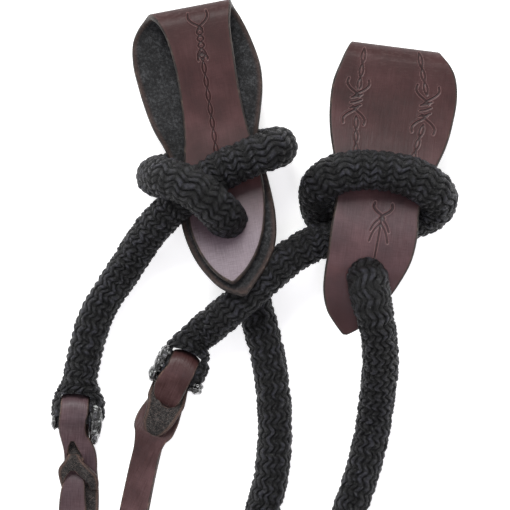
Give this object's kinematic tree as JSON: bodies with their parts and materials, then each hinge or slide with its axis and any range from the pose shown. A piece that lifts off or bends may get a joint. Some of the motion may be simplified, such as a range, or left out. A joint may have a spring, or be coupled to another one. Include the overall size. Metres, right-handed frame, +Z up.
{
  "type": "loop reins",
  "caption": "Braided rope loop reins with leather slobber straps hitched on at both ends and laced leather lashes on the rope's tails.",
  "frame": {"origin": "on the surface the reins lie on, under the middle of the box around the two straps and their hitches", "axes": "+Z up from the surface, +Y from the rein towards the bit loops of the straps, +X to the right seen from above"},
  "size_m": [0.2681, 0.4779, 0.0556],
  "materials": {
    "strap_leather": "smooth waxed bridle leather, dark burgundy brown, with a fuzzy dark flesh side",
    "rope": "coarse black solid braid, matt with a faint sheen on each strand",
    "sealed_rope": "heat-sealed rope end, glazed and partly clear where it has melted",
    "lash_leather": "supple oiled leather, dark burgundy brown, rough dark flesh side"
  },
  "bodies": {
    "reins": {"strap_left": "strap_leather", "strap_right": "strap_leather", "hitch_left": "rope", "hitch_right": "rope", "tail_left": "rope", "tail_right": "rope", "rein_left": "rope", "rein_right": "rope", "rein_coil": "rope", "rope_end_left": "sealed_rope", "rope_end_right": "sealed_rope"},
    "lash_left": {"lash_left": "lash_leather"},
    "lash_right": {"lash_right": "lash_leather"}
  },
  "joints": [
    {"name": "lash_left_swing", "type": "hinge", "parent": "reins", "child": "lash_left", "pos_m": [-0.0985, -0.1111, 0.008], "axis": [-0.9986, 0.0523, 0], "range_deg": [0, 85]},
    {"name": "lash_right_swing", "type": "hinge", "parent": "reins", "child": "lash_right", "pos_m": [-0.0516, -0.0913, 0.008], "axis": [-0.9171, 0.3987, 0], "range_deg": [0, 85]}
  ]
}
